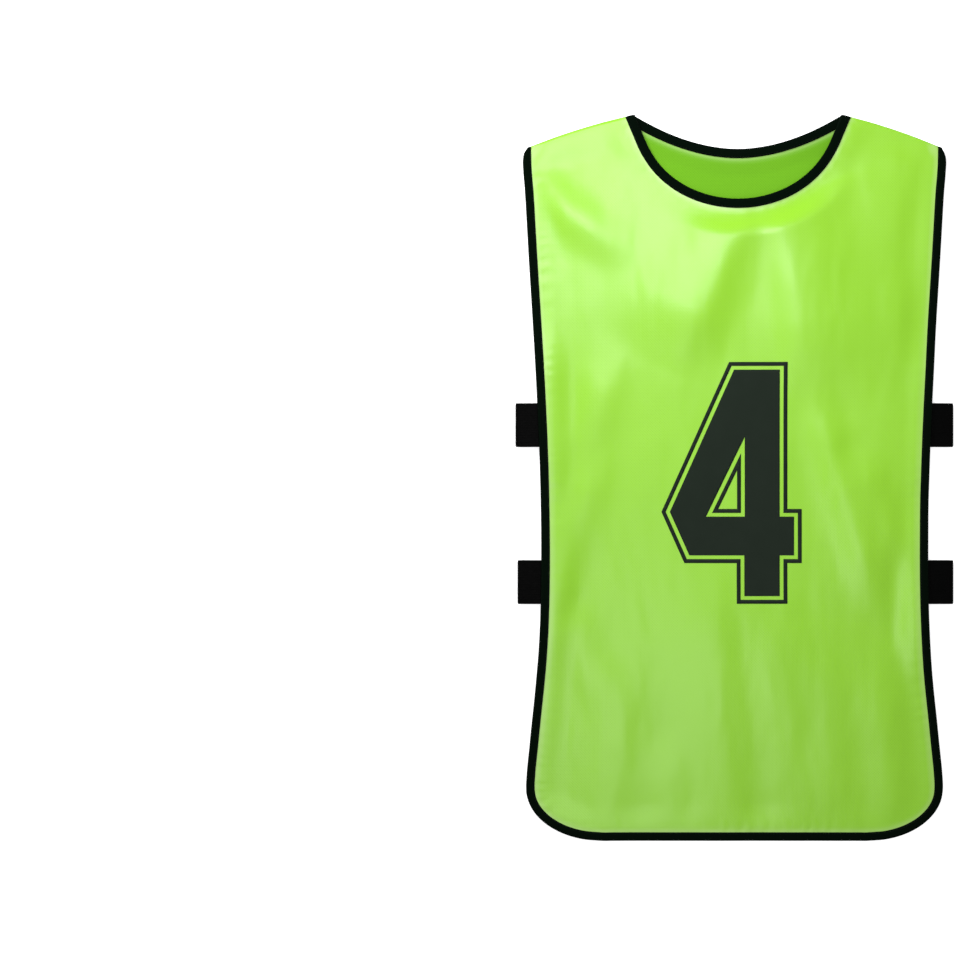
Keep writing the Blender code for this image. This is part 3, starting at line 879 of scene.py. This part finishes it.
def printOnCloth(name, bm):
    cutFine(bm)
    for v in bm.verts:
        hit = surface.ray_cast(Vector((v.co.x, v.co.y, 0.1)), Vector((0, 0, -1)))[0]
        v.co.z = hit.z + number["above"] / 1000
    bmesh.ops.recalc_face_normals(bm, faces=bm.faces)
    if bm.faces[0].normal.z < 0:
        bmesh.ops.reverse_faces(bm, faces=bm.faces)
    piece = addPiece(name, bm, ink)
    film = piece.modifiers.new("Film", "SOLIDIFY")
    film.thickness = number["film"] / 1000
    film.offset = 1
    return piece


outlineBand = printOnCloth("number_outline", band(number["outline"], 0, number["line"]))
counterBand = printOnCloth(
    "number_counter_outline", band(number["counter"], number["gap"], number["gap"] + number["line"]))
fill = printOnCloth("number_fill", filledFigure())
print("number printed")


# Table, light and camera

studio = {
    "lens": 100,
    "floor": 9.0,  # radius of the paper that the bib lies on, before it sweeps up
    "floorSides": 96,
    "sweepSteps": 8,
    "sweepStep": 0.48,  # length of each step up the sweep
    "tableGlow": 0.75,  # the table is lit from below as well, so that the bib's shadow fades
    "world": 0.33,
    "keyPlace": (-0.80, 1.20, 0.80),  # from beyond the left shoulder, low enough to show the folds
    "keyAim": (-0.05, 0.05, 0.0),
    "keySize": 0.5,
    "keyPower": 20,
    "keyGloss": False,  # it stands low, and its mirror image would bleach the cloth from the hem's side
    "chestPlace": (-0.07, 0.34, 0.65),  # the glare on the chest
    "chestAim": (-0.07, 0.20, 0.0),
    "chestSize": 0.2,
    "chestPower": 1.7,
    "chestGloss": True,
    "hemPlace": (-0.10, -0.27, 1.00),
    "hemAim": (-0.10, -0.10, 0.0),
    "hemSize": 0.3,
    "hemPower": 1.3,
    "hemGloss": True,
}


def makePaper():
    # White seamless background paper, uncoated: matt, and bright as in a cut-out.
    paper = bpy.data.materials.new("whitePaper")
    paper.use_nodes = True
    shader = paper.node_tree.nodes["Principled BSDF"]
    shader.inputs["Base Color"].default_value = toLinear("#FAFAFA")
    shader.inputs["Roughness"].default_value = 0.9
    shader.inputs["Specular IOR Level"].default_value = 0.1
    shader.inputs["Emission Color"].default_value = (1, 1, 1, 1)
    shader.inputs["Emission Strength"].default_value = studio["tableGlow"]
    return paper


def addTable():
    # a round sheet of paper whose rim sweeps up
    bm = bmesh.new()
    bmesh.ops.create_circle(bm, cap_ends=True, segments=studio["floorSides"], radius=studio["floor"])
    rim = [e for e in bm.edges if e.is_boundary]
    for k in range(studio["sweepSteps"]):
        angle = math.pi / 2 * (k + 0.5) / studio["sweepSteps"]
        made = bmesh.ops.extrude_edge_only(bm, edges=rim)["geom"]
        rim = [e for e in made if isinstance(e, bmesh.types.BMEdge) and e.is_boundary]
        rise = Vector((0, 0, math.sin(angle)))
        for v in {v for e in rim for v in e.verts}:
            out = Vector((v.co.x, v.co.y, 0)).normalized()
            v.co += (out * math.cos(angle) + rise) * studio["sweepStep"]
    bmesh.ops.recalc_face_normals(bm, faces=bm.faces)
    mesh = bpy.data.meshes.new("table")
    bm.to_mesh(mesh)
    bm.free()
    mesh.materials.append(makePaper())
    mesh.shade_smooth()
    table = bpy.data.objects.new("table", mesh)
    bpy.context.scene.collection.objects.link(table)


def addLight(name):
    light = bpy.data.lights.new(name, "AREA")
    light.size = studio[name + "Size"]
    light.energy = studio[name + "Power"]
    lamp = bpy.data.objects.new(name, light)
    lamp.visible_glossy = studio[name + "Gloss"]
    place = Vector(studio[name + "Place"])
    lamp.location = place
    lamp.rotation_euler = (Vector(studio[name + "Aim"]) - place).to_track_quat("-Z", "Y").to_euler()
    bpy.context.scene.collection.objects.link(lamp)


def addCamera():
    width = photo["width"] * pixel
    camera = bpy.data.cameras.new("camera")
    camera.lens = studio["lens"]
    eye = bpy.data.objects.new("camera", camera)
    distance = width * camera.lens / camera.sensor_width
    middle = photo["width"] / 2
    eye.location = ((middle - photo["bibX"]) * pixel, (photo["bibY"] - middle) * pixel, distance)
    bpy.context.scene.collection.objects.link(eye)
    bpy.context.scene.camera = eye


def addWorld():
    world = bpy.data.worlds.new("studio")
    world.use_nodes = True
    background = world.node_tree.nodes["Background"]
    background.inputs["Strength"].default_value = studio["world"]
    background.inputs["Color"].default_value = (1, 1, 1, 1)
    bpy.context.scene.world = world
    bpy.context.scene.view_settings.view_transform = "Standard"


addTable()
for lamp in ("key", "chest", "hem"):
    addLight(lamp)
addWorld()
addCamera()
print("studio set")
